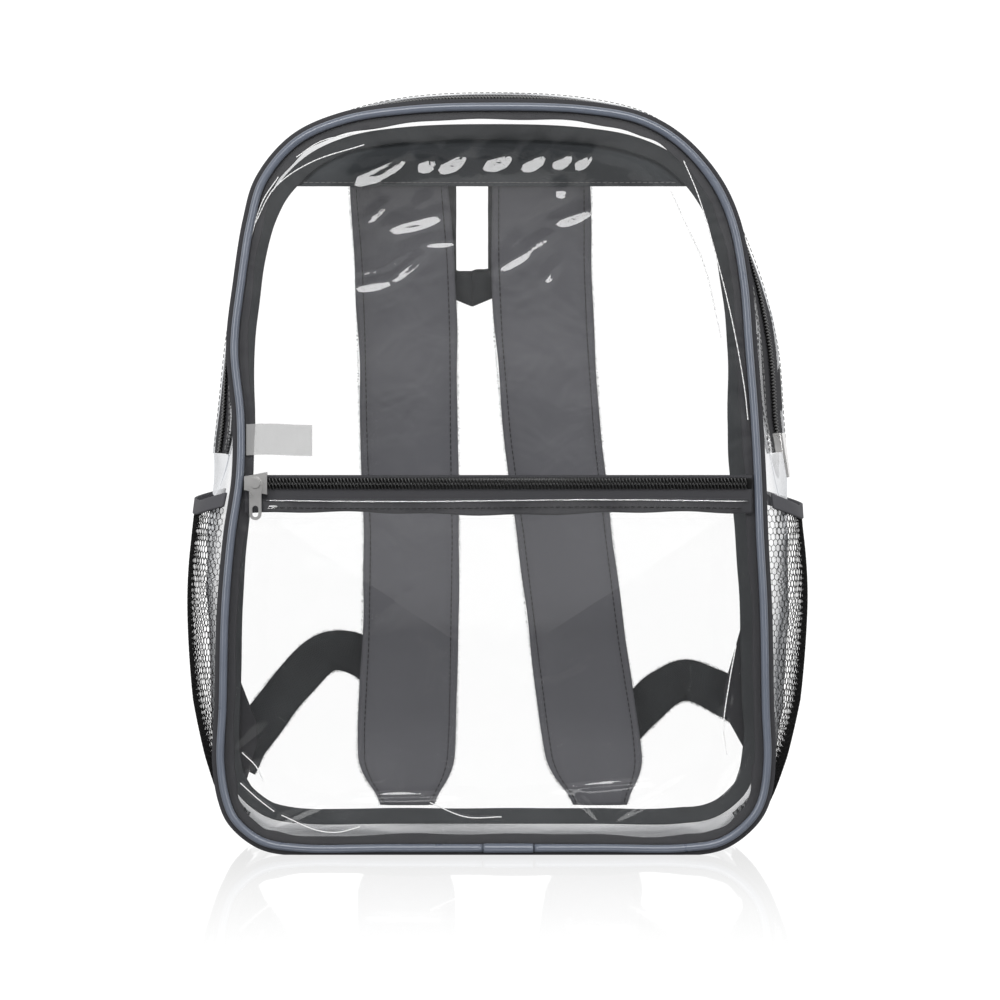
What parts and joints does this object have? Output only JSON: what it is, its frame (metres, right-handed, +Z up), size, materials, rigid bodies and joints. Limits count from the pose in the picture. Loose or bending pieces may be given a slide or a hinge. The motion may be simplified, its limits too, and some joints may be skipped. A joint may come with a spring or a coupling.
{
  "type": "clear stadium backpack",
  "caption": "Boxy transparent backpack with a zip over the top, a front zip pocket, net side pockets, padded shoulder straps and a hand loop.",
  "frame": {"origin": "middle of the underside that the bag stands on, centred in the overall width and depth", "axes": "+Z up, -Y the front with the zip pocket, +X to the right as seen from the front"},
  "size_m": [0.3626, 0.1862, 0.4373],
  "materials": {
    "clear_pvc": "clear, glossy, soft",
    "piping": "semi-gloss vinyl cord",
    "black_tape": "ribbed woven tape",
    "grey_tape": "woven band",
    "zip_coil": "nylon coil",
    "metal": "bright nickel",
    "net": "knitted net",
    "elastic": "ribbed elastic",
    "strap_cloth": "woven, padded",
    "webbing": "woven webbing",
    "black_plastic": "moulded",
    "white_tag": "thin printed-label cloth, bare"
  },
  "bodies": {
    "bag": {"front_panel": "clear_pvc", "front_pocket": "clear_pvc", "back_panel": "clear_pvc", "gusset_lower": "clear_pvc", "gusset_top_front": "clear_pvc", "gusset_top_back": "clear_pvc", "front_piping": "piping", "piping_joint": "piping", "front_binding": "black_tape", "back_binding": "grey_tape", "main_zip_tape": "black_tape", "main_zip_coil": "zip_coil", "main_zip_slider": "metal", "pocket_zip_tape": "black_tape", "pocket_zip_coil": "zip_coil", "pocket_zip_slider": "metal", "care_tag": "white_tag", "side_net_left": "net", "side_net_right": "net", "pocket_band_left": "elastic", "pocket_band_right": "elastic", "yoke": "grey_tape", "haul_loop": "webbing", "shoulder_strap_left": "strap_cloth", "shoulder_strap_right": "strap_cloth", "ladder_lock_left": "black_plastic", "ladder_lock_right": "black_plastic", "webbing_left": "webbing", "webbing_right": "webbing", "anchor_tab_left": "black_tape", "anchor_tab_right": "black_tape"},
    "pocket_pull": {"pocket_zip_pull": "metal"}
  },
  "joints": [
    {"name": "pull_swing", "type": "hinge", "parent": "bag", "child": "pocket_pull", "pos_m": [-0.13429, -0.09083, 0.20835], "axis": [0, 1, 0], "range_deg": [-80, 80]}
  ]
}
